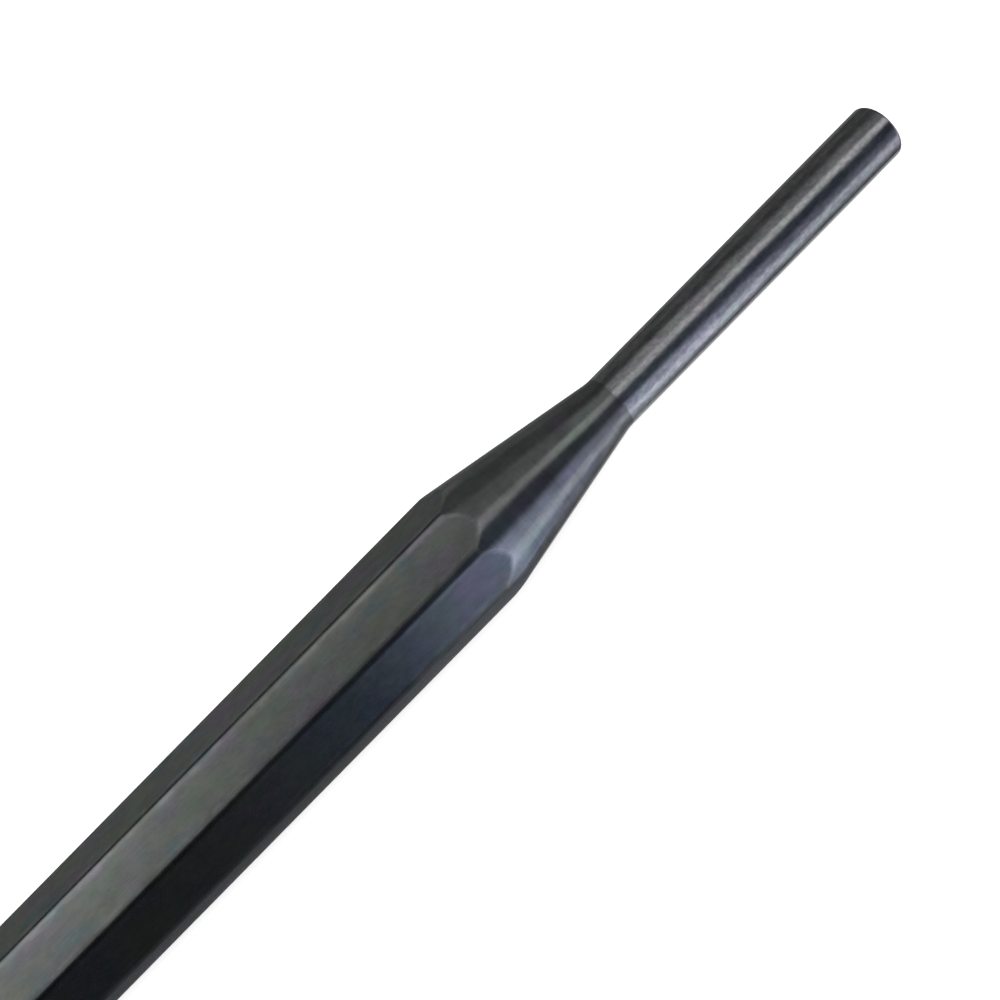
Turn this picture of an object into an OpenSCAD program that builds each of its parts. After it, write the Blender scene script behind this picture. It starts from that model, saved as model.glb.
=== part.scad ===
// A pin punch: one octagonal steel bar, turned down at the front to a taper and a straight pin.
// It lies along X with its tip towards +X, and rests on one flat at z = 0.
// x = 0 is halfway along the punch. Each node is one machined zone of the bar.

/* [Bar] */
// Length of the punch, from the crown of the struck face to the face of the tip
overall_length = 150; // [110:1:250]
// Width of the octagonal bar across its flats
bar_flats = 10; // [7:0.5:16]
// Width of the rounding along each long corner of the bar
corner_width = 0.2; // [0.05:0.05:1]

/* [Struck head] */
// Length of the bevel turned round the struck end
head_bevel_length = 2.6; // [1:0.1:8]
// Depth that the bevel takes off each flat at the struck face
head_bevel_depth = 1.3; // [0.5:0.1:2.5]
// Height of the crown on the struck face
head_crown = 0.4; // [0.1:0.05:1]

/* [Taper] */
// Length of the turned taper, from the corners of the bar to the root of the pin
taper_length = 16; // [8:0.1:40]
// Radius of the fillet at the root of the pin
root_fillet = 4; // [1:0.5:12]

/* [Pin] */
// Diameter of the pin
pin_diameter = 4.8; // [2:0.1:6]
// Length of the pin, from the taper to the face of the tip
pin_length = 30; // [10:0.5:50]
// Radius of the rounding round the face of the tip
tip_rounding = 0.35; // [0.1:0.05:0.9]

/* [Hidden] */

$fn = 96;

// Colour of the blackened bar
bar_colour = [0.23, 0.23, 0.24];
// Colour of the turned taper
taper_colour = [0.27, 0.27, 0.29];
// Colour of the ground pin
pin_colour = [0.42, 0.42, 0.45];

// Number of flats round the bar
bar_sides = 8;
// Length of cone that the shank keeps past the last of its flats
cone_margin = 0.3;

// Half of the angle between two corners of the bar
half_side_angle = 180 / bar_sides;
// Distance from the axis to a flat
flat_r = bar_flats / 2;
// Distance from the axis to a sharp corner
corner_r = flat_r / cos(half_side_angle);
// Length that the rounding of a corner takes off each flat beside it
corner_setback = corner_width / 2 / cos(half_side_angle);
// Distance from the axis to a rounded corner
rounded_r = norm([flat_r, flat_r * tan(half_side_angle) - corner_setback]);
// Height of the axis over the surface that the punch rests on
axis_z = flat_r;
// Radius of the pin
pin_r = pin_diameter / 2;

// Place of the struck face's crown along X
head_x = -overall_length / 2;
// Radius of the struck face, inside its bevel
face_r = flat_r - head_bevel_depth;
// Radius of the ball that the crown is a part of
crown_r = (face_r * face_r + head_crown * head_crown) / (2 * head_crown);
// Length of the head, from its crown to where the bevel would meet sharp corners
head_length = head_crown + head_bevel_length;
// Length from the crown to where the bevel meets the rounded corners
rounded_bevel = head_crown + head_bevel_length * (rounded_r - face_r) / (corner_r - face_r);

// Place of the tip's face along X
tip_x = overall_length / 2;
// Place where the taper and the pin would meet without their fillet
root_x = tip_x - pin_length;
// Growth of the taper's radius for each unit of its length
taper_slope = (corner_r - pin_r) / taper_length;
// Angle between the taper and the axis
taper_angle = atan(taper_slope);
// Distance from the root to each end of the fillet
fillet_reach = root_fillet * tan(taper_angle / 2);
// Place where the straight wall of the pin begins
pin_x = root_x + fillet_reach;
// Length from the start of the straight wall to the tip's face
pin_span = tip_x - pin_x;
// Place where the taper starts to cut the rounded corners
shoulder_x = root_x - (rounded_r - pin_r) / taper_slope;
// Place where the shank ends and the plain cone begins
seam_x = root_x - (flat_r - pin_r) / taper_slope + cone_margin;
// Radius of the cone where the shank ends
seam_r = pin_r + (root_x - seam_x) * taper_slope;
// Place where the shank begins
shank_x = head_x + head_length;
// Length of the shank
shank_length = seam_x - shank_x;
// Length of the plain cone with its fillet
cone_length = pin_x - seam_x;

// Turns an outline of radius and length round the axis of the punch, from the place x
module turned(x) {
    translate([x, 0, axis_z])
        rotate([0, 90, 0])
            rotate_extrude()
                children();
}

// Octagonal bar from the place x, with one flat below and sharp corners
module octagonal_bar(x, length) {
    translate([x, 0, axis_z])
        rotate([0, 90, 0])
            rotate([0, 0, half_side_angle])
                cylinder(r = corner_r, h = length, $fn = bar_sides);
}

// Bevelled end of the bar with its crowned face
module striking_head() {
    color(bar_colour)
        intersection() {
            octagonal_bar(head_x, head_length);
            turned(head_x)
                union() {
                    polygon([
                        [0, head_crown],
                        [face_r, head_crown],
                        [rounded_r, rounded_bevel],
                        [rounded_r, head_length],
                        [0, head_length]
                    ]);
                    intersection() {
                        square([face_r, head_crown]);
                        translate([0, crown_r])
                            circle(r = crown_r);
                    }
                }
        }
}

// Eight-sided grip, down to where the turned cone has cut away the last of its flats
module octagonal_shank() {
    color(bar_colour)
        intersection() {
            octagonal_bar(shank_x, shank_length);
            turned(shank_x)
                polygon([
                    [0, 0],
                    [rounded_r, 0],
                    [rounded_r, shoulder_x - shank_x],
                    [seam_r, shank_length],
                    [0, shank_length]
                ]);
        }
}

// Cone from the end of the flats to the root of the pin, where a fillet blends it in
module turned_taper() {
    fillet_back = fillet_reach * cos(taper_angle);
    fillet_rise = fillet_reach * sin(taper_angle);
    color(taper_colour)
        turned(seam_x)
            difference() {
                polygon([
                    [0, 0],
                    [seam_r, 0],
                    [pin_r + fillet_rise, root_x - fillet_back - seam_x],
                    [pin_r, cone_length],
                    [0, cone_length]
                ]);
                translate([pin_r + root_fillet, cone_length])
                    circle(r = root_fillet);
            }
}

// Straight pin with a flat face and a rounded edge at its tip
module drive_pin() {
    color(pin_colour)
        turned(pin_x)
            union() {
                square([pin_r - tip_rounding, pin_span]);
                square([pin_r, pin_span - tip_rounding]);
                translate([pin_r - tip_rounding, pin_span - tip_rounding])
                    circle(r = tip_rounding);
            }
}

striking_head();
octagonal_shank();
turned_taper();
drive_pin();
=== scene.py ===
import math

import bmesh
import bpy
from mathutils import Matrix, Vector


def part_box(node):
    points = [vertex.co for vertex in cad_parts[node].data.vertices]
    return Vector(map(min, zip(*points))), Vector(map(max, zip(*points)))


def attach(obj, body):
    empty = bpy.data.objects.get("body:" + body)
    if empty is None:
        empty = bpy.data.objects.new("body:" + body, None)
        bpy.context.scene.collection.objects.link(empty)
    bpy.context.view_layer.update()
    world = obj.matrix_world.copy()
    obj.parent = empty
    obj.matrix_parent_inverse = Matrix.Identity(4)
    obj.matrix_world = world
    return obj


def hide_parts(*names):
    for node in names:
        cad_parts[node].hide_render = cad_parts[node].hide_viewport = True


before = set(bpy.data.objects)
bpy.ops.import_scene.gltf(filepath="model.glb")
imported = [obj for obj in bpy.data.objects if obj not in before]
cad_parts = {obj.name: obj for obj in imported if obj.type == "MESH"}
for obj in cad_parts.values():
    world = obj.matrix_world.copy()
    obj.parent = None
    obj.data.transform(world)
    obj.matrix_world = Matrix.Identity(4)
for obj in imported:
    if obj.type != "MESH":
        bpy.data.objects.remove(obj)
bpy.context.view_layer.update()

MM = 0.001
# Places along X this near are the same, and points this near are merged
SAME_PLACE = 0.001 * MM
SAME_POINT = 0.0001 * MM

# Sizes of the punch, in metres, read off the frame
HEAD_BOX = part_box("striking_head")
SHANK_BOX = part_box("octagonal_shank")
PIN_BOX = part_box("drive_pin")
FLAT_R = (SHANK_BOX[1].z - SHANK_BOX[0].z) / 2
PIN_R = (PIN_BOX[1].z - PIN_BOX[0].z) / 2
AXIS_Z = SHANK_BOX[0].z + FLAT_R
HEAD_X = HEAD_BOX[0].x
SHANK_X = SHANK_BOX[0].x
SEAM_X = SHANK_BOX[1].x
PIN_X = PIN_BOX[0].x
TIP_X = PIN_BOX[1].x

# Section of the bar
BAR_SIDES = 8
HALF_SIDE = math.pi / BAR_SIDES
CORNER_R = FLAT_R / math.cos(HALF_SIDE)
CORNER_ROUNDING = 1.05 * MM
# An edge across the bar that is longer than this spans a flat, not a rounded corner
LEAST_FLAT = FLAT_R * 0.5

# Turned front end
TAPER_LENGTH = 16 * MM
PIN_LENGTH = 30 * MM
ROOT_X = TIP_X - PIN_LENGTH
TAPER_SLOPE = (CORNER_R - PIN_R) / TAPER_LENGTH
TAPER_ANGLE = math.atan(TAPER_SLOPE)
SEAM_R = PIN_R + (ROOT_X - SEAM_X) * TAPER_SLOPE
ROOT_FILLET = (PIN_X - ROOT_X) / math.tan(TAPER_ANGLE / 2)
TIP_ROUNDING = 0.35 * MM
ARCH_EDGE = 0.22 * MM
# Length of the bar between the end of its straight stretch and the first cut of the taper
ARCH_MARGIN = 1 * MM

# Struck head
CROWN = 0.4 * MM
HEAD_BEVEL_LENGTH = 2.6 * MM
FACE_R = FLAT_R - 1.3 * MM
HEAD_SLOPE = (CORNER_R - FACE_R) / HEAD_BEVEL_LENGTH
CROWN_BALL_R = (FACE_R ** 2 + CROWN ** 2) / (2 * CROWN)
HEAD_EDGE = 0.125 * MM
# Length of the stub of bar whose end is pulled onto the bevel
HEAD_STUB = 0.1 * MM

# How finely the metal is divided
FLAT_COLUMNS = 12
CORNER_SEGMENTS = 6
EDGE_SEGMENTS = 3
TURN_STEPS = 192
ARC_STEPS = 8
CONE_RINGS = 12
PIN_RINGS = 16

# Edges that turn by less than this are smooth
SHARP_ANGLE = math.radians(30)
# How far a large flat face outweighs the small ones beside it in the shading
FLAT_FACE_WEIGHT = 80


def finish_mesh(bm, name):
    """Makes an object of the bmesh, smooth but for its sharp edges."""
    bmesh.ops.recalc_face_normals(bm, faces=bm.faces)
    for face in bm.faces:
        face.smooth = True
    for edge in bm.edges:
        edge.smooth = len(edge.link_faces) == 2 and edge.calc_face_angle() < SHARP_ANGLE
    mesh = bpy.data.meshes.new(name)
    bm.to_mesh(mesh)
    bm.free()
    piece = bpy.data.objects.new(name, mesh)
    bpy.context.scene.collection.objects.link(piece)
    weighting = piece.modifiers.new("flat_faces_first", "WEIGHTED_NORMAL")
    weighting.mode = "FACE_AREA"
    weighting.weight = FLAT_FACE_WEIGHT
    weighting.keep_sharp = True
    return piece


def radius_of(co):
    """Distance of a point from the axis of the punch."""
    return math.hypot(co.y, co.z - AXIS_Z)


def taper_x(radius):
    """Place along X where the turned cone has a radius."""
    return ROOT_X - (radius - PIN_R) / TAPER_SLOPE


def bevel_x(radius):
    """Place along X where the head's bevel has a radius."""
    return HEAD_X + CROWN + (radius - FACE_R) / HEAD_SLOPE


def crown_x(radius):
    """Place along X where the head's crown has a radius."""
    return HEAD_X + CROWN_BALL_R - math.sqrt(CROWN_BALL_R ** 2 - radius ** 2)


def length_along(edge):
    return abs(edge.verts[0].co.x - edge.verts[1].co.x)


def round_edges(bm, edges, offset, segments=EDGE_SEGMENTS):
    bmesh.ops.bevel(
        bm, geom=edges, offset=offset, offset_type="OFFSET",
        segments=segments, profile=0.5, affect="EDGES", material=-1,
    )


def octagonal_tube(bm, x_from, x_to):
    """Open tube of the bar's section, with rounded corners and columns across its flats."""
    place = Matrix.Translation((x_from, 0, AXIS_Z)) @ Matrix.Rotation(math.pi / 2, 4, "Y")
    place = place @ Matrix.Rotation(HALF_SIDE, 4, "Z")
    bmesh.ops.create_circle(bm, cap_ends=False, segments=BAR_SIDES, radius=CORNER_R, matrix=place)
    made = bmesh.ops.extrude_edge_only(bm, edges=bm.edges[:])["geom"]
    new_verts = [v for v in made if isinstance(v, bmesh.types.BMVert)]
    bmesh.ops.translate(bm, verts=new_verts, vec=(x_to - x_from, 0, 0))
    long_edges = [e for e in bm.edges if length_along(e) > SAME_PLACE]
    setback = CORNER_ROUNDING * math.tan(HALF_SIDE)
    round_edges(bm, long_edges, setback, CORNER_SEGMENTS)
    across = [e for e in bm.edges if length_along(e) < SAME_PLACE and e.calc_length() > LEAST_FLAT]
    bmesh.ops.subdivide_edges(bm, edges=across, cuts=FLAT_COLUMNS - 1, use_grid_fill=True)


def end_edges(bm, x):
    """Edges of the open end at a place along X."""
    return [
        e for e in bm.edges
        if e.is_boundary and all(abs(v.co.x - x) < SAME_PLACE for v in e.verts)
    ]


def extrude_end(bm, edges):
    """Extrudes an open end in place and gives the new edges and corners."""
    made = bmesh.ops.extrude_edge_only(bm, edges=edges)["geom"]
    new_verts = [g for g in made if isinstance(g, bmesh.types.BMVert)]
    open_edges = [g for g in made if isinstance(g, bmesh.types.BMEdge) and g.is_boundary]
    return open_edges, new_verts


def set_radius(v, radius):
    """Moves a corner straight out from the axis to a radius."""
    scale = radius / radius_of(v.co)
    v.co.y *= scale
    v.co.z = AXIS_Z + (v.co.z - AXIS_Z) * scale


def cap(bm, x):
    """Closes the open end at a place along X."""
    bmesh.ops.holes_fill(bm, edges=end_edges(bm, x), sides=0)


def spun(profile):
    """Turns a profile of (x, radius) points round the axis of the punch."""
    bm = bmesh.new()
    verts = [bm.verts.new((x, 0, AXIS_Z + radius)) for x, radius in profile]
    edges = [bm.edges.new(pair) for pair in zip(verts, verts[1:])]
    bmesh.ops.spin(
        bm, geom=verts + edges, cent=(0, 0, AXIS_Z), axis=(1, 0, 0),
        angle=2 * math.pi, steps=TURN_STEPS, use_merge=True,
    )
    bmesh.ops.remove_doubles(bm, verts=bm.verts[:], dist=SAME_POINT)
    return bm


def arc(cx, cr, radius, start, end):
    """Points of an arc in the plane of x and radius, from one angle to another, in degrees."""
    angles = [math.radians(start + (end - start) * i / ARC_STEPS) for i in range(ARC_STEPS + 1)]
    return [(cx + radius * math.cos(a), cr + radius * math.sin(a)) for a in angles]


def points_between(start, end, rings):
    """Points on the line between two (x, radius) points, without its ends."""
    shares = [i / rings for i in range(1, rings)]
    return [tuple(a + (b - a) * share for a, b in zip(start, end)) for share in shares]


def make_shank():
    """Octagonal bar whose flats end in arches where the turned cone cuts them."""
    bm = bmesh.new()
    straight_end = taper_x(CORNER_R) - ARCH_MARGIN
    octagonal_tube(bm, SHANK_X, straight_end)
    arch_edges, arch_verts = extrude_end(bm, end_edges(bm, straight_end))
    for v in arch_verts:
        v.co.x = taper_x(radius_of(v.co))
    seam_verts = extrude_end(bm, arch_edges)[1]
    for v in seam_verts:
        v.co.x = SEAM_X
        set_radius(v, SEAM_R)
    round_edges(bm, arch_edges, ARCH_EDGE)
    cap(bm, SEAM_X)
    cap(bm, SHANK_X)
    return finish_mesh(bm, "punch_shank")


def make_head():
    """Bevelled end of the bar with its crowned face."""
    bm = bmesh.new()
    octagonal_tube(bm, SHANK_X, SHANK_X - HEAD_STUB)
    arch_edges = end_edges(bm, SHANK_X - HEAD_STUB)
    for v in {v for e in arch_edges for v in e.verts}:
        v.co.x = bevel_x(radius_of(v.co))
    face_edges, face_verts = extrude_end(bm, arch_edges)
    for v in face_verts:
        v.co.x = HEAD_X + CROWN
        set_radius(v, FACE_R)
    rim = face_edges
    for i in range(ARC_STEPS - 1, 0, -1):
        radius = FACE_R * i / ARC_STEPS
        rim, rim_verts = extrude_end(bm, rim)
        for v in rim_verts:
            v.co.x = crown_x(radius)
            set_radius(v, radius)
    middle_verts = extrude_end(bm, rim)[1]
    bmesh.ops.pointmerge(bm, verts=middle_verts, merge_co=(HEAD_X, 0, AXIS_Z))
    round_edges(bm, arch_edges + face_edges, HEAD_EDGE)
    cap(bm, SHANK_X)
    return finish_mesh(bm, "punch_head")


def make_taper():
    """Cone from the end of the flats down to the pin, with its fillet."""
    fillet_start = 270 - math.degrees(TAPER_ANGLE)
    fillet = arc(PIN_X, PIN_R + ROOT_FILLET, ROOT_FILLET, fillet_start, 270)
    wall_start = (SEAM_X, SEAM_R)
    wall = points_between(wall_start, fillet[0], CONE_RINGS)
    profile = [(SEAM_X, 0), wall_start, *wall, *fillet, (PIN_X, 0)]
    return finish_mesh(spun(profile), "punch_taper")


def make_pin():
    """Straight pin with a rounded edge round its flat tip."""
    rounding = arc(TIP_X - TIP_ROUNDING, PIN_R - TIP_ROUNDING, TIP_ROUNDING, 90, 0)
    wall_start = (PIN_X, PIN_R)
    wall = points_between(wall_start, (rounding[0][0], PIN_R), PIN_RINGS)
    face = [(TIP_X, PIN_R / 2), (TIP_X, 0)]
    profile = [(PIN_X, 0), wall_start, *wall, *rounding, *face]
    return finish_mesh(spun(profile), "punch_pin")


# Most of a noise lies between these
NOISE_MIDDLE = (0.3, 0.7)


class Shading:
    """The nodes of one material or world, with a short call for each kind that is used."""

    def __init__(self, owner):
        owner.use_nodes = True
        self.owner = owner
        self.nodes = owner.node_tree.nodes
        self.links = owner.node_tree.links
        self.nodes.clear()

    def put(self, socket, value):
        """Links a value to a socket, or sets it there where it is constant."""
        if isinstance(value, bpy.types.NodeSocket):
            self.links.new(value, socket)
        elif isinstance(value, tuple) and len(value) == 3 and socket.type == "RGBA":
            socket.default_value = (*value, 1)
        else:
            socket.default_value = value

    def calc(self, operation, first, second=0.0):
        node = self.nodes.new("ShaderNodeMath")
        node.operation = operation
        self.put(node.inputs[0], first)
        self.put(node.inputs[1], second)
        return node.outputs["Value"]

    def total(self, *values):
        result = values[0]
        for value in values[1:]:
            result = self.calc("ADD", result, value)
        return result

    def product(self, *values):
        result = values[0]
        for value in values[1:]:
            result = self.calc("MULTIPLY", result, value)
        return result

    def between(self, value, start, end, low=0.0, high=1.0):
        """Goes smoothly from low to high as the value goes from start to end."""
        node = self.nodes.new("ShaderNodeMapRange")
        node.interpolation_type = "SMOOTHSTEP"
        self.put(node.inputs["Value"], value)
        self.put(node.inputs["From Min"], start)
        self.put(node.inputs["From Max"], end)
        self.put(node.inputs["To Min"], low)
        self.put(node.inputs["To Max"], high)
        return node.outputs["Result"]

    def ramps(self, value, *ramps):
        """Sum of some ramps, each from a start to an end, with its strength at both."""
        return self.total(*(self.between(value, *ramp) for ramp in ramps))

    def band(self, value, rise_from, full_from, full_to, fall_to):
        """1 from full_from to full_to, with a soft edge on both sides."""
        rising = self.between(value, rise_from, full_from)
        falling = self.between(value, full_to, fall_to, 1.0, 0.0)
        return self.product(rising, falling)

    def blend(self, share, first, second):
        """Colour that goes from the first to the second as the share goes from 0 to 1."""
        node = self.nodes.new("ShaderNodeMix")
        node.data_type = "RGBA"
        self.put(node.inputs[0], share)
        # The node's number, vector and colour sockets share their names, so these go by place
        self.put(node.inputs[6], first)
        self.put(node.inputs[7], second)
        return node.outputs[2]

    def scaled(self, colour, strength):
        node = self.nodes.new("ShaderNodeVectorMath")
        node.operation = "SCALE"
        self.put(node.inputs[0], colour)
        self.put(node.inputs["Scale"], strength)
        return node.outputs["Vector"]

    def added(self, first, second):
        node = self.nodes.new("ShaderNodeVectorMath")
        node.operation = "ADD"
        self.put(node.inputs[0], first)
        self.put(node.inputs[1], second)
        return node.outputs["Vector"]

    def millimetres(self):
        """Place on the piece in millimetres, measured from the axis of the punch."""
        coordinates = self.nodes.new("ShaderNodeTexCoord")
        mapping = self.nodes.new("ShaderNodeMapping")
        mapping.inputs["Location"].default_value = (0, 0, -AXIS_Z / MM)
        mapping.inputs["Scale"].default_value = (1 / MM, 1 / MM, 1 / MM)
        self.links.new(coordinates.outputs["Object"], mapping.inputs["Vector"])
        return mapping.outputs["Vector"]

    def parts(self, vector):
        node = self.nodes.new("ShaderNodeSeparateXYZ")
        self.links.new(vector, node.inputs["Vector"])
        return node.outputs["X"], node.outputs["Y"], node.outputs["Z"]

    def distance(self, y, z):
        """Distance from the axis of the punch."""
        return self.calc("SQRT", self.total(self.product(y, y), self.product(z, z)))

    def noise(self, place, along, across, detail=2.0, offset=0.0):
        """Noise from 0 to 1, with the size of its blotches along the punch and across it."""
        mapping = self.nodes.new("ShaderNodeMapping")
        mapping.inputs["Location"].default_value = (offset, offset, offset)
        mapping.inputs["Scale"].default_value = (1 / along, 1 / across, 1 / across)
        self.links.new(place, mapping.inputs["Vector"])
        node = self.nodes.new("ShaderNodeTexNoise")
        node.inputs["Scale"].default_value = 1.0
        node.inputs["Detail"].default_value = detail
        self.links.new(mapping.outputs["Vector"], node.inputs["Vector"])
        return node.outputs["Fac"]

    def uneven(self, noise, low, high):
        """Stretches the middle of a noise to go from low to high."""
        return self.between(noise, *NOISE_MIDDLE, low, high)

    def relief(self, height, depth, under=None):
        """Bump of a depth in metres, over another one if there is one."""
        node = self.nodes.new("ShaderNodeBump")
        node.inputs["Strength"].default_value = 1.0
        node.inputs["Distance"].default_value = depth
        self.links.new(height, node.inputs["Height"])
        if under is not None:
            self.links.new(under, node.inputs["Normal"])
        return node.outputs["Normal"]

    def surface(self, shader_socket):
        output = self.nodes.new("ShaderNodeOutputMaterial")
        self.links.new(shader_socket, output.inputs["Surface"])
        return self.owner

    def metal(self, colour, roughness, normal, grazing, metallic=1.0):
        """Metal that reflects the share called grazing at its outline."""
        shader = self.nodes.new("ShaderNodeBsdfPrincipled")
        self.put(shader.inputs["Metallic"], metallic)
        shader.inputs["Specular Tint"].default_value = (grazing, grazing, grazing, 1)
        self.links.new(colour, shader.inputs["Base Color"])
        self.links.new(roughness, shader.inputs["Roughness"])
        self.links.new(normal, shader.inputs["Normal"])
        return self.surface(shader.outputs["BSDF"])

    def light(self, colour, cover=None):
        """Plain light of a card in the studio, which is clear where its cover is 0."""
        emission = self.nodes.new("ShaderNodeEmission")
        self.put(emission.inputs["Color"], colour)
        result = emission.outputs["Emission"]
        if cover is not None:
            clear = self.nodes.new("ShaderNodeBsdfTransparent")
            mixed = self.nodes.new("ShaderNodeMixShader")
            self.put(mixed.inputs["Fac"], cover)
            self.links.new(clear.outputs["BSDF"], mixed.inputs[1])
            self.links.new(result, mixed.inputs[2])
            result = mixed.outputs["Shader"]
        self.owner.cycles.emission_sampling = "NONE"
        return self.surface(result)


# Finishes, as reflected colours
BLACK_OXIDE = (0.116, 0.121, 0.120)
OXIDE_OLIVE = (0.122, 0.127, 0.110)
OXIDE_TEAL = (0.099, 0.121, 0.124)
OXIDE_GREEN = (0.110, 0.129, 0.112)
OXIDE_VIOLET = (0.125, 0.115, 0.134)
TURNED_OXIDE = (0.122, 0.126, 0.124)
TURNED_GREEN = (0.110, 0.134, 0.120)
TURNED_VIOLET = (0.132, 0.121, 0.148)
WORN_EDGE = (0.26, 0.26, 0.27)
GROUND_STEEL = (0.252, 0.254, 0.258)
GROUND_DARK = (0.205, 0.212, 0.224)
GROUND_VIOLET = (0.262, 0.250, 0.272)
GROUND_GREEN = (0.240, 0.262, 0.252)
OXIDE_GRAZING = 0.46
GROUND_GRAZING = 0.5
# Roughness of each surface before its unevenness
BAR_ROUGHNESS = 0.25
CONE_ROUGHNESS = 0.145
PIN_ROUGHNESS = 0.13
# Changes of roughness on the rounding of the long corners, and where the oxide is worn
CORNER_SHINE = -0.1
WEAR_SHINE = -0.05
# How far the bar and the cone reflect as bare metal
BAR_METALLIC = 0.985
CONE_METALLIC = 0.94
# Depths of the marks in the metal
DRAWN_DEPTH = 0.002 * MM
PORE_DEPTH = 0.002 * MM
GROUND_DEPTH = 0.0006 * MM
SMEAR_DEPTH = 0.006 * MM
# Stretches over which one finish gives way to another, in millimetres: from the drawn bar to the
# turned cone or bevel, and from the oxide to the ground pin, whose border wavers along the pin
TURNING_BORDER = (-0.10, -0.03)
OXIDE_BORDER = (-0.15, 0.20)
OXIDE_BORDER_WAVER = 0.5
# Rounding of the long corners and the wear beside it, from where the sharp corner would be
CORNER_BORDER = (-0.19, -0.09)
CORNER_WEAR_BORDER = (-0.26, -0.18)
# Wear round the arches, from the turned cone, and at the tip, from where its sharp edge would be
ARCH_WEAR_SPAN = (-0.5, -0.2, -0.1, 0.1)
TIP_WEAR_SPAN = (-0.42, -0.30, -0.18, -0.05)
# Share of the worn colour where the wear is strongest
CORNER_WEAR = 0.2
ARCH_WEAR = 0.4
TIP_WEAR = 0.2


def past_the_turning(steel, x, radius):
    """Distance along X past the turned cone or the head's bevel, which is 0 on them."""
    slope = 1 / TAPER_SLOPE
    cone_start = -ROOT_X / MM - PIN_R / MM * slope
    from_cone = steel.total(x, steel.product(radius, slope), cone_start)
    rise = 1 / HEAD_SLOPE
    bevel_start = (HEAD_X + CROWN) / MM - FACE_R / MM * rise
    from_bevel = steel.total(steel.product(radius, rise), steel.product(x, -1.0), bevel_start)
    return steel.calc("MAXIMUM", from_cone, from_bevel)


def blackened_steel(name):
    """Drawn octagonal bar under black oxide, with a turned finish where a lathe has cut it."""
    steel = Shading(bpy.data.materials.new(name))
    place = steel.millimetres()
    x, y, z = steel.parts(place)
    radius = steel.distance(y, z)
    nearest = past_the_turning(steel, x, radius)
    turned = steel.between(nearest, *TURNING_BORDER)

    # Oxide tints in soft clouds, and the lines that the drawing left along the bar
    clouds = steel.noise(place, along=5.0, across=2.2, detail=3.0)
    spots = steel.noise(place, along=4.0, across=2.0, offset=7.3)
    mottle = steel.noise(place, along=1.4, across=0.8, offset=2.2)
    drawn = steel.noise(place, along=14.0, across=0.16, detail=3.0)
    pores = steel.noise(place, along=0.5, across=0.28, detail=3.0, offset=3.1)
    bar = steel.blend(steel.between(clouds, 0.45, 0.68), BLACK_OXIDE, OXIDE_OLIVE)
    bar = steel.blend(steel.between(spots, 0.50, 0.68), bar, OXIDE_TEAL)
    bar = steel.blend(steel.between(spots, 0.48, 0.34), bar, OXIDE_GREEN)
    bar = steel.blend(steel.between(clouds, 0.48, 0.32), bar, OXIDE_VIOLET)
    bar = steel.scaled(bar, steel.product(
        steel.uneven(drawn, 0.97, 1.03), steel.uneven(pores, 0.96, 1.04),
        steel.uneven(mottle, 0.93, 1.07),
    ))

    # Rings of the turning tool on the cone and the head
    rings = steel.noise(place, along=0.22, across=40.0, offset=1.7)
    wide_rings = steel.noise(place, along=1.6, across=60.0, detail=1.0, offset=5.1)
    cone = steel.blend(steel.between(clouds, 0.5, 0.7), TURNED_OXIDE, TURNED_GREEN)
    cone = steel.blend(steel.between(spots, 0.55, 0.72), cone, TURNED_VIOLET)
    cone = steel.scaled(cone, steel.product(
        steel.uneven(rings, 0.94, 1.06), steel.uneven(wide_rings, 0.95, 1.05),
        steel.uneven(mottle, 0.94, 1.06), steel.uneven(pores, 0.95, 1.05),
    ))

    # Wear beside the long corners and round the arches
    chafed = steel.noise(place, along=2.0, across=0.7, detail=3.0, offset=9.9)
    patches = steel.noise(place, along=1.7, across=0.7, detail=3.0, offset=4.6)
    from_corner = steel.total(radius, -CORNER_R / MM)
    corner_wear = steel.product(
        steel.between(from_corner, *CORNER_WEAR_BORDER), steel.between(patches, 0.42, 0.66),
        CORNER_WEAR,
    )
    arch_wear = steel.product(
        steel.band(nearest, *ARCH_WEAR_SPAN), steel.uneven(chafed, 0.0, 1.0), ARCH_WEAR,
    )
    wear = steel.calc("MAXIMUM", corner_wear, arch_wear)
    colour = steel.blend(wear, steel.blend(turned, bar, cone), WORN_EDGE)

    # The corners and the wear are smoother than the rest
    corner = steel.between(from_corner, *CORNER_BORDER)
    bar_roughness = steel.total(
        BAR_ROUGHNESS, steel.uneven(clouds, 0.0, 0.04), steel.uneven(pores, 0.0, 0.05),
        steel.product(corner, CORNER_SHINE),
    )
    cone_roughness = steel.total(
        CONE_ROUGHNESS, steel.uneven(rings, 0.0, 0.04), steel.uneven(wide_rings, 0.0, 0.02),
    )
    roughness = steel.total(
        steel.between(turned, 0.0, 1.0, bar_roughness, cone_roughness),
        steel.product(wear, WEAR_SHINE),
    )
    drawn_height = steel.product(drawn, steel.calc("SUBTRACT", 1.0, turned))
    ring_height = steel.product(rings, turned)
    normal = steel.relief(steel.total(drawn_height, ring_height), DRAWN_DEPTH)
    normal = steel.relief(pores, PORE_DEPTH, normal)
    metallic = steel.between(turned, 0.0, 1.0, BAR_METALLIC, CONE_METALLIC)
    return steel.metal(colour, roughness, normal, OXIDE_GRAZING, metallic)


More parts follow.
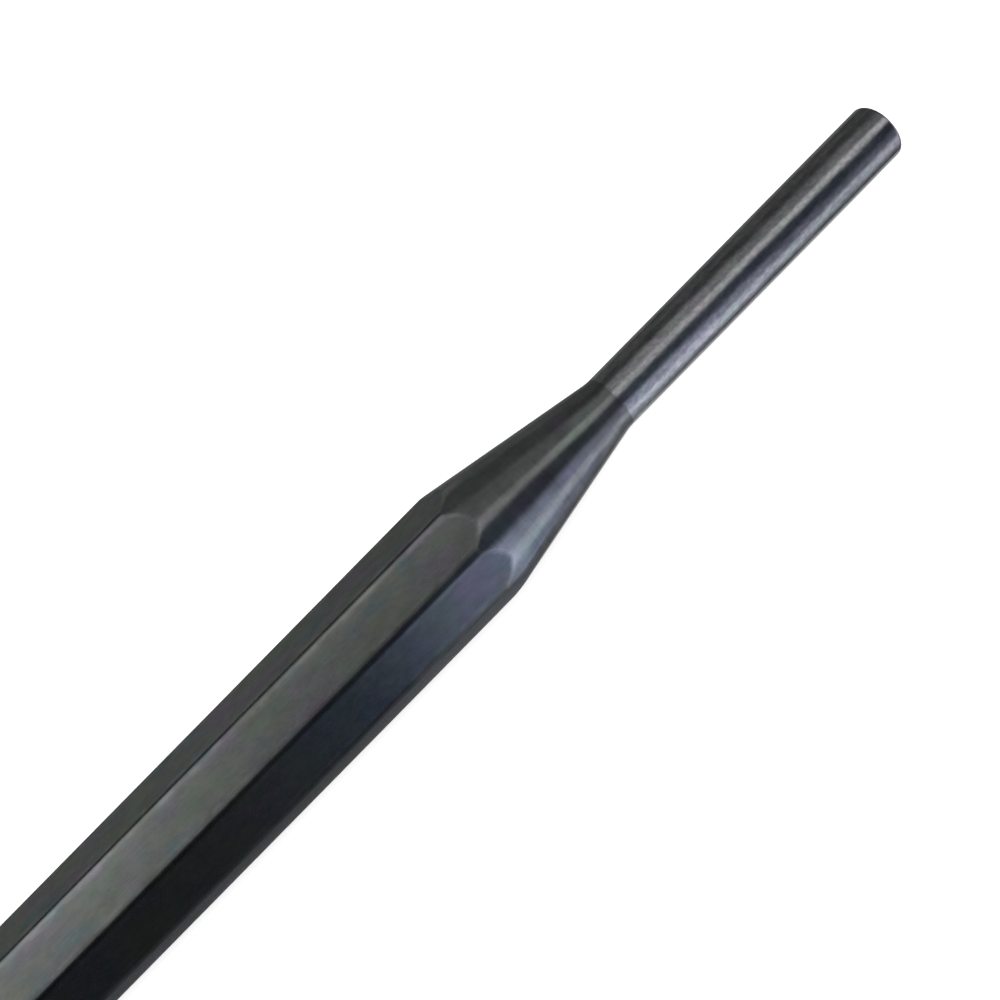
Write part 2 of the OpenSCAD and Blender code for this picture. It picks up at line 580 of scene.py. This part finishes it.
def ground_steel(name):
    """Ground pin: brighter than the bar, with fine rings and faint lengthwise smears."""
    steel = Shading(bpy.data.materials.new(name))
    place = steel.millimetres()
    x, y, z = steel.parts(place)
    rings = steel.noise(place, along=0.10, across=30.0)
    smears = steel.noise(place, along=3.5, across=0.7, detail=3.0, offset=4.4)
    blotches = steel.noise(place, along=1.6, across=0.7, detail=3.0, offset=8.8)
    specks = steel.noise(place, along=0.45, across=0.3, offset=6.1)
    tints = steel.noise(place, along=2.4, across=1.0, offset=5.7)
    colour = steel.blend(steel.between(blotches, 0.62, 0.36), GROUND_STEEL, GROUND_DARK)
    colour = steel.blend(steel.between(tints, 0.54, 0.68), colour, GROUND_VIOLET)
    colour = steel.blend(steel.between(tints, 0.46, 0.32), colour, GROUND_GREEN)
    colour = steel.scaled(colour, steel.product(
        steel.uneven(rings, 0.95, 1.05), steel.uneven(smears, 0.92, 1.06),
        steel.uneven(specks, 0.87, 1.13),
    ))

    # Wear on the rounding of the tip
    from_edge = steel.total(x, steel.distance(y, z), -(TIP_X + PIN_R) / MM)
    tip_wear = steel.product(steel.band(from_edge, *TIP_WEAR_SPAN), TIP_WEAR)
    colour = steel.blend(tip_wear, colour, WORN_EDGE)

    # The oxide ends a little unevenly at the root
    waver = steel.total(steel.product(smears, OXIDE_BORDER_WAVER), -OXIDE_BORDER_WAVER / 2)
    from_root = steel.total(x, -PIN_X / MM, waver)
    ground = steel.between(from_root, *OXIDE_BORDER)
    colour = steel.blend(ground, TURNED_OXIDE, colour)
    roughness = steel.total(
        PIN_ROUGHNESS, steel.uneven(smears, 0.0, 0.04), steel.uneven(blotches, 0.0, 0.05),
    )
    normal = steel.relief(rings, GROUND_DEPTH)
    normal = steel.relief(smears, SMEAR_DEPTH, normal)
    return steel.metal(colour, roughness, normal, GROUND_GRAZING)


# Camera: square to the axis, rolled so that the tip points to the upper right
PX_PER_MM = 12.86
FRAME_PX = 1000
CAMERA_PX = 1200
VIEW_FROM_VERTICAL = math.radians(14.5)
AXIS_ROLL = math.radians(45.47)
# Pixels along the punch, from the middle of the frame to the tip, and from the pin's root to it
MIDDLE_TO_TIP_PX = 530
ROOT_TO_TIP_PX = 387
CENTRE_X = ROOT_X - (MIDDLE_TO_TIP_PX - ROOT_TO_TIP_PX) / PX_PER_MM * MM
SHIFT_PX = 110
AXIS_OFFSET_PX = 10.5
# Width of the sensor in millimetres, and where the view begins and ends in metres
SENSOR = 36
CLIP = (0.005, 20)


def make_camera():
    data = bpy.data.cameras.new("camera")
    data.sensor_width = SENSOR
    data.lens = SENSOR * CAMERA_PX / FRAME_PX
    data.clip_start, data.clip_end = CLIP
    # The photograph's frame lies this far to the tip's side of the lens axis
    data.shift_x = SHIFT_PX * math.cos(AXIS_ROLL) / FRAME_PX
    data.shift_y = SHIFT_PX * math.sin(AXIS_ROLL) / FRAME_PX
    camera = bpy.data.objects.new("camera", data)
    bpy.context.scene.collection.objects.link(camera)
    back = Vector((0, -math.sin(VIEW_FROM_VERTICAL), math.cos(VIEW_FROM_VERTICAL)))
    across = Vector((0, -math.cos(VIEW_FROM_VERTICAL), -math.sin(VIEW_FROM_VERTICAL)))
    along = Vector((1, 0, 0))
    right = along * math.cos(AXIS_ROLL) + across * math.sin(AXIS_ROLL)
    up = along * math.sin(AXIS_ROLL) - across * math.cos(AXIS_ROLL)
    pixel = MM / PX_PER_MM
    foot = Vector((CENTRE_X - SHIFT_PX * pixel, 0, AXIS_Z))
    place = foot - across * (AXIS_OFFSET_PX * pixel) + back * (CAMERA_PX * pixel)
    turned = Matrix((right, up, back)).transposed().to_4x4()
    camera.matrix_world = Matrix.Translation(place) @ turned
    bpy.context.scene.camera = camera


# Strength of the world for light that falls on things, and as it is seen
WORLD_LIGHT = 0.7
WORLD_SEEN = 1.0
# The floor: half its size, its colour, and the glow that makes it white where it is seen
FLOOR_HALF = 3
FLOOR_COLOUR = (0.85, 0.85, 0.85)
FLOOR_GLOW = 0.5
FLOOR_Z = -0.01 * MM


def seen_rays(shading):
    """1 for camera, glossy and transmission rays, and 0 for the others."""
    path = shading.nodes.new("ShaderNodeLightPath")
    first = shading.calc("MAXIMUM", path.outputs["Is Camera Ray"], path.outputs["Is Glossy Ray"])
    return shading.calc("MAXIMUM", first, path.outputs["Is Transmission Ray"])


def make_world():
    world = bpy.data.worlds.new("studio")
    shading = Shading(world)
    background = shading.nodes.new("ShaderNodeBackground")
    background.inputs["Color"].default_value = (1, 1, 1, 1)
    strength = shading.between(seen_rays(shading), 0.0, 1.0, WORLD_LIGHT, WORLD_SEEN)
    shading.links.new(strength, background.inputs["Strength"])
    output = shading.nodes.new("ShaderNodeOutputWorld")
    shading.links.new(background.outputs["Background"], output.inputs["Surface"])
    bpy.context.scene.world = world


def staged(bm, name, material):
    """Puts a mesh in the studio."""
    mesh = bpy.data.meshes.new(name)
    bm.to_mesh(mesh)
    bm.free()
    mesh.materials.append(material)
    thing = bpy.data.objects.new(name, mesh)
    bpy.context.scene.collection.objects.link(thing)
    return thing


def staged_card(bm, name, material):
    """Puts a card in the studio that shapes the reflections and is not seen itself."""
    card = staged(bm, name, material)
    card.visible_camera = False
    card.visible_diffuse = False
    card.visible_transmission = False
    card.visible_volume_scatter = False
    card.visible_shadow = False


def make_floor():
    bm = bmesh.new()
    bmesh.ops.create_grid(bm, x_segments=1, y_segments=1, size=FLOOR_HALF)
    bmesh.ops.translate(bm, verts=bm.verts, vec=(0, 0, FLOOR_Z))
    floor = Shading(bpy.data.materials.new("floor_white"))
    diffuse = floor.nodes.new("ShaderNodeBsdfDiffuse")
    floor.put(diffuse.inputs["Color"], FLOOR_COLOUR)
    glow = floor.nodes.new("ShaderNodeEmission")
    floor.put(glow.inputs["Strength"], floor.product(seen_rays(floor), FLOOR_GLOW))
    both = floor.nodes.new("ShaderNodeAddShader")
    floor.links.new(diffuse.outputs["BSDF"], both.inputs[0])
    floor.links.new(glow.outputs["Emission"], both.inputs[1])
    staged(bm, "floor", floor.surface(both.outputs["Shader"]))


# Colours of the studio's lights: soft boxes, dark flags and the white horizon under the boxes
WHITE = (1.0, 1.0, 1.0)
BOX_COLOUR = (0.94, 1.0, 1.36)
FLAG_COLOUR = (0.86, 1.0, 1.32)
HORIZON_COLOUR = (0.98, 1.0, 1.04)
# Bluer box and flags that only the bar mirrors
BAR_BOX_COLOUR = (0.84, 1.0, 1.6)
BAR_FLAG_COLOUR = (0.74, 1.0, 1.5)
# Less blue box that only the pin mirrors
PIN_BOX_COLOUR = (1.0, 1.0, 1.26)
# Nearly grey flag that the far stretch of the bar mirrors
FAR_FLAG_COLOUR = (0.96, 1.0, 1.15)

# In the studio's lights a turn is an angle round the punch in degrees, and a place along it is in
# millimetres. A span is where a light starts, is full, begins to fade and ends. A ramp goes from
# one turn or place to another, with the strength at both, which are 0 and 1 if they are left out.


def studio_light(name):
    """Nodes of a card's light, with the place on it in millimetres."""
    stage = Shading(bpy.data.materials.new(name))
    x, y, z = stage.parts(stage.millimetres())
    return stage, x, y, z


def lit(stage, white, *tinted):
    """Colour of the light that a card gives: a white strength and some tinted ones."""
    colour = stage.scaled(WHITE, white)
    for tint, strength in tinted:
        colour = stage.added(colour, stage.scaled(tint, strength))
    return colour


def turn_round(stage, y, z):
    """Angle round the punch in degrees: 0 overhead, positive to the front."""
    return stage.product(stage.calc("ARCTAN2", stage.product(y, -1.0), z), 180 / math.pi)


# Light tent round the punch, which only reflections see
TENT_R = 55 * MM
TENT_ENDS = (-260 * MM, 260 * MM)
TENT_SIDES = (-97, 97)
# Where the pin's lights take over from the bar's
PIN_SIDE = (35, 52)
# Where the flags begin, in front of the overhead strip
FLAG_SIDE = (10, 25)
OVERHEAD_SPAN = (-12, -1, 6, 24)
OVERHEAD_RAMPS = ((-20, 15, 0.6, 0.2), (*PIN_SIDE, 0.0, 0.79), (60, 100, 0.0, 0.22))
TIP_PANEL_SPAN = (-52, -28, -10, 0)
TIP_PANEL_RAMP = (60, 94, 0.52, 0.27)
BAR_PANEL_SPAN = (-62, -44, -27, -2)
BAR_PANEL_RAMP = (-40, 14, 2.3, 1.085)
BAR_PANEL_MOST = ((0, 14, 0.74, 0.98), (18, 28, 0.0, -0.14))
LOW_BOX_TURN = (43, 66)
LOW_BOX_RISE = (12.5, 31)
LOW_BOX_RAMP = (64, 88, 0.815, 0.24)
LOW_BOX_FOOT_TURN = (76, 96)
LOW_BOX_FOOT_RAMP = (40, 30, 0.0, -0.25)
BAR_BOX_SIDE = (26, 18)
HORIZON_TURN = (73, 95)
HORIZON_SHIFTS = ((62, 76, -2.0, 0.0), (79, 98, 0.0, 3.0))
HORIZON_RISE = (30, 55)
HORIZON_RAMPS = ((64, 76, 0.95, 0.90), (80, 98, 0.0, 0.12))
FRONT_FLAG_RAMP = (-16, 2, 0.065, 0.135)
FRONT_FLAG_TIP_RAMP = (76, 96, 1.0, 0.75)
CORNER_LINE_TURN = (44, 58, -0.6, 0.0)
CORNER_LINE_SIDE = (27, 19)
BAR_FLAG_SIDE = (34, 24)
FAR_FLAG_SIDE = (10, -6)
BACK_FLAG_STRENGTH = 0.13


def tent_light():
    """Light of the tent: an overhead strip, dim back panels, a low front box and dark flags."""
    tent, x, y, z = studio_light("tent_light")
    turn = turn_round(tent, y, z)

    # White lights overhead and at the back
    overhead = tent.product(tent.band(turn, *OVERHEAD_SPAN), tent.ramps(x, *OVERHEAD_RAMPS))
    tip_panel = tent.product(
        tent.band(turn, *TIP_PANEL_SPAN), tent.between(x, *TIP_PANEL_RAMP),
        tent.between(x, *PIN_SIDE),
    )
    most = tent.ramps(x, *BAR_PANEL_MOST)
    bar_panel = tent.product(
        tent.calc("MINIMUM", tent.band(turn, *BAR_PANEL_SPAN), most),
        tent.between(x, *BAR_PANEL_RAMP), tent.between(x, *PIN_SIDE, 1.0, 0.0),
    )
    back_flag = tent.between(turn, *FLAG_SIDE, BACK_FLAG_STRENGTH, 0.0)
    white = tent.total(overhead, tip_panel, bar_panel, back_flag)

    # Blue box low in front, darker at its foot beside the bar
    foot = tent.product(
        tent.between(turn, *LOW_BOX_FOOT_TURN), tent.between(x, *LOW_BOX_FOOT_RAMP),
    )
    low_box = tent.product(
        tent.between(turn, *LOW_BOX_TURN), tent.between(x, *LOW_BOX_RISE),
        tent.between(x, *LOW_BOX_RAMP), tent.total(1.0, foot),
    )
    box_colour = tent.blend(tent.between(x, *BAR_BOX_SIDE), BOX_COLOUR, BAR_BOX_COLOUR)
    box_colour = tent.blend(tent.between(x, *PIN_SIDE), box_colour, PIN_BOX_COLOUR)

    # White horizon under the box, which the pin mirrors
    shifted = tent.total(turn, tent.ramps(x, *HORIZON_SHIFTS))
    horizon = tent.product(
        tent.between(shifted, *HORIZON_TURN), tent.between(x, *HORIZON_RISE),
        tent.ramps(x, *HORIZON_RAMPS),
    )

    # Dark flag above the box, darkest where the bar's long corner mirrors it
    corner_line = tent.product(
        tent.between(turn, *CORNER_LINE_TURN), tent.between(x, *CORNER_LINE_SIDE),
    )
    front_flag = tent.product(
        tent.between(turn, *FLAG_SIDE), tent.between(x, *FRONT_FLAG_RAMP),
        tent.between(x, *FRONT_FLAG_TIP_RAMP), tent.total(1.0, corner_line),
    )
    flag_colour = tent.blend(tent.between(x, *BAR_FLAG_SIDE), FLAG_COLOUR, BAR_FLAG_COLOUR)
    flag_colour = tent.blend(tent.between(x, *FAR_FLAG_SIDE), flag_colour, FAR_FLAG_COLOUR)
    return tent.light(lit(
        tent, white, (box_colour, low_box), (flag_colour, front_flag), (HORIZON_COLOUR, horizon),
    ))


# Hood round the taper alone, inside the tent
HOOD_R = 12 * MM
HOOD_ENDS = (31 * MM, 48 * MM)
HOOD_SIDES = (-75, 112)
HOOD_COVER = (31.5, 32.5, 45.5, 47.5)
STRIP_TURN = (-9, -1)
STRIP_END_TURN = (3.5, 15, 1.0, 0.0)
STRIP_SHIFT = (40, 48, 0.0, -4.0)
STRIP_RAMPS = ((36, 39.5, 0.95, 0.72), (41, 45, 0.0, 0.43))
HOOD_PANEL_SPAN = (-44, -30, -8, -1)
HOOD_PANEL_STRENGTH = 0.2
HOOD_BACK_FLAG = (4, 16, 0.17, 0.0)
HOOD_FRONT_FLAG = (6, 16, 0.0, 0.11)
HOOD_BAR_FLAG_SIDE = (41, 35)
HOOD_BOX_TURN = (36, 54)
HOOD_BOX_SHIFT = (36, 40, 3.0, 0.0)
HOOD_BOX_RAMPS = ((33.5, 37, 1.35, 0.94), (37, 45, 0.0, -0.22))
HOOD_HORIZON_SPAN = (62, 76, 84, 97)
HOOD_HORIZON_SHIFT = (36, 45, 3.0, -3.0)
HOOD_HORIZON_STRENGTH = 0.95


def hood_light():
    """Light of the hood: as the tent's, but with a narrower strip and a brighter box."""
    hood, x, y, z = studio_light("hood_light")
    turn = turn_round(hood, y, z)
    strip_end = hood.total(turn, hood.between(x, *STRIP_SHIFT))
    strip = hood.product(
        hood.between(turn, *STRIP_TURN), hood.between(strip_end, *STRIP_END_TURN),
        hood.ramps(x, *STRIP_RAMPS),
    )
    panel = hood.product(hood.band(turn, *HOOD_PANEL_SPAN), HOOD_PANEL_STRENGTH)
    back_flag = hood.between(turn, *HOOD_BACK_FLAG)
    front_flag = hood.between(turn, *HOOD_FRONT_FLAG)
    flag_colour = hood.blend(hood.between(x, *HOOD_BAR_FLAG_SIDE), FLAG_COLOUR, BAR_FLAG_COLOUR)
    box_turn = hood.total(turn, hood.between(x, *HOOD_BOX_SHIFT))
    box = hood.product(hood.between(box_turn, *HOOD_BOX_TURN), hood.ramps(x, *HOOD_BOX_RAMPS))
    horizon_turn = hood.total(turn, hood.between(x, *HOOD_HORIZON_SHIFT))
    horizon = hood.product(hood.band(horizon_turn, *HOOD_HORIZON_SPAN), HOOD_HORIZON_STRENGTH)
    colour = lit(
        hood, hood.total(strip, panel, back_flag),
        (BOX_COLOUR, box), (flag_colour, front_flag), (HORIZON_COLOUR, horizon),
    )
    # Only its inner side gives light, and it fades out towards its ends
    inside = hood.nodes.new("ShaderNodeNewGeometry").outputs["Backfacing"]
    return hood.light(colour, hood.product(hood.band(x, *HOOD_COVER), inside))


# Steps in which a card is bent
CURVE_STEPS = 96


def make_curved_card(name, radius, ends, sides, material):
    """Card that curves round the axis of the punch, between two places and two angles."""
    bm = bmesh.new()
    corners = [bm.verts.new((x, 0, AXIS_Z + radius)) for x in ends]
    edge = bm.edges.new(corners)
    first, last = (math.radians(side) for side in sides)
    axis = Vector((0, 0, AXIS_Z))
    bmesh.ops.rotate(bm, verts=corners, cent=axis, matrix=Matrix.Rotation(first, 3, "X"))
    bmesh.ops.spin(
        bm, geom=corners + [edge], cent=axis, axis=(1, 0, 0), angle=last - first,
        steps=CURVE_STEPS,
    )
    bmesh.ops.recalc_face_normals(bm, faces=bm.faces)
    staged_card(bm, name, material)


def make_flat_card(name, half_width, y, z, material, upright=False):
    """Card as long as the tent, which lies on the floor or stands on it."""
    bm = bmesh.new()
    bmesh.ops.create_grid(bm, x_segments=1, y_segments=1, size=1)
    bmesh.ops.scale(bm, verts=bm.verts, vec=(TENT_ENDS[1], half_width, 1))
    if upright:
        quarter = Matrix.Rotation(math.pi / 2, 3, "X")
        bmesh.ops.rotate(bm, verts=bm.verts, cent=(0, 0, 0), matrix=quarter)
    bmesh.ops.translate(bm, verts=bm.verts, vec=(0, y, z))
    staged_card(bm, name, material)


# Dark card that stands on the floor behind the punch
LOW_FLAG_HALF = 5.75 * MM
LOW_FLAG_Y = 15 * MM
LOW_FLAG_COLOUR = (1.0, 1.0, 0.98)
LOW_FLAG_RAMP = (5, 22, 0.56, 0.49)
LOW_FLAG_PIN_RAMP = (30, 38, 1.0, 0.38)
LOW_FLAG_FOOT_RAMP = (4, 0, 0.0, 0.6)
LOW_FLAG_FOOT_SPAN = (32, 36, 44, 54)


def make_low_flag():
    flag, x, y, z = studio_light("flag_grey")
    foot = flag.product(flag.between(z, *LOW_FLAG_FOOT_RAMP), flag.band(x, *LOW_FLAG_FOOT_SPAN))
    strength = flag.product(
        flag.between(x, *LOW_FLAG_RAMP), flag.between(x, *LOW_FLAG_PIN_RAMP),
        flag.total(foot, 1.0),
    )
    grey = flag.light(flag.scaled(LOW_FLAG_COLOUR, strength))
    make_flat_card("low_flag", LOW_FLAG_HALF, LOW_FLAG_Y, LOW_FLAG_HALF, grey, upright=True)


# Cards that lie on the floor, this high: a grey one behind the punch, which is painted shade (a
# grey light in place of the floor in the punch's shade, as the metal mirrors it), and a white one
# before it
LYING_Z = 0.02 * MM
SHADE_CARD_HALF = 6.5 * MM
SHADE_CARD_Y = 8.5 * MM
PAINTED_SHADE_GREY = (0.5, 0.5, 0.5)
BOUNCE_HALF = 30 * MM
BOUNCE_Y = -35.5 * MM
BOUNCE_COLOUR = (0.97, 1.0, 1.13)
# Strengths of the white card along its edge at the punch and along its far edge. The weaker edge
# at the punch is painted shade, standing for the punch's shade on the floor as the metal mirrors
# it
BOUNCE_EDGES = (-4, -22)
BOUNCE_NEAR_SHADE_RAMPS = ((0, 32, 0.295, 0.52), (30, 40, 1.0, 1.15), (46, 56, 1.0, 0.375))
BOUNCE_FAR_RAMPS = ((14, 28, 0.1, 0.62), (22, 48, 0.0, 1.38), (50, 84, 0.0, -0.85))
BOUNCE_DIP_DEPTH = (-34, -20)
BOUNCE_DIP_SPAN = (20, 40, 50, 60)
BOUNCE_DIP_STRENGTH = -0.6


def lay_painted_floor_shade():
    # Painted shade: a grey light over the white floor behind the punch, seen only in the metal,
    # standing for the floor in the punch's shade
    mat = Shading(bpy.data.materials.new("painted_shade_grey"))
    make_flat_card("painted_shade_card", SHADE_CARD_HALF, SHADE_CARD_Y, LYING_Z, mat.light(PAINTED_SHADE_GREY))


def make_bounce():
    bounce, x, y, z = studio_light("bounce_white")
    near = bounce.product(*(bounce.between(x, *ramp) for ramp in BOUNCE_NEAR_SHADE_RAMPS))
    dip = bounce.product(
        bounce.between(y, *BOUNCE_DIP_DEPTH), bounce.band(x, *BOUNCE_DIP_SPAN),
        BOUNCE_DIP_STRENGTH,
    )
    far = bounce.total(bounce.ramps(x, *BOUNCE_FAR_RAMPS), dip)
    # Dimmer towards the punch: painted shade of the floor beside it, as the metal mirrors it
    strength = bounce.between(y, *BOUNCE_EDGES, near, far)
    white = bounce.light(bounce.scaled(BOUNCE_COLOUR, strength))
    make_flat_card("bounce", BOUNCE_HALF, BOUNCE_Y, LYING_Z, white)


# Lamp over the punch, which lights the floor and isn't mirrored
LAMP_SIZE = (0.6, 0.4)
LAMP_HEIGHT = 0.4
LAMP_WATTS = 1.2


def make_lamp():
    data = bpy.data.lights.new("overhead", "AREA")
    data.shape = "RECTANGLE"
    data.size, data.size_y = LAMP_SIZE
    data.energy = LAMP_WATTS
    lamp = bpy.data.objects.new("overhead", data)
    lamp.location = (0, 0, LAMP_HEIGHT)
    lamp.visible_glossy = False
    bpy.context.scene.collection.objects.link(lamp)


make_camera()
make_world()
make_floor()
make_curved_card("tent", TENT_R, TENT_ENDS, TENT_SIDES, tent_light())
make_curved_card("hood", HOOD_R, HOOD_ENDS, HOOD_SIDES, hood_light())
make_low_flag()
lay_painted_floor_shade()
make_bounce()
make_lamp()

shank = make_shank()
head = make_head()
taper = make_taper()
pin = make_pin()
blackened = blackened_steel("blackened_steel")
ground = ground_steel("ground_steel")
for piece, finish, node, slot in (
    (head, blackened, "striking_head", "blackened_steel"),
    (shank, blackened, "octagonal_shank", "blackened_steel"),
    (taper, blackened, "turned_taper", "turned_steel"),
    (pin, ground, "drive_pin", "ground_steel"),
):
    piece.data.materials.append(finish)
    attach(piece, "root")
    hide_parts(node)

bpy.context.scene.view_settings.view_transform = "Standard"
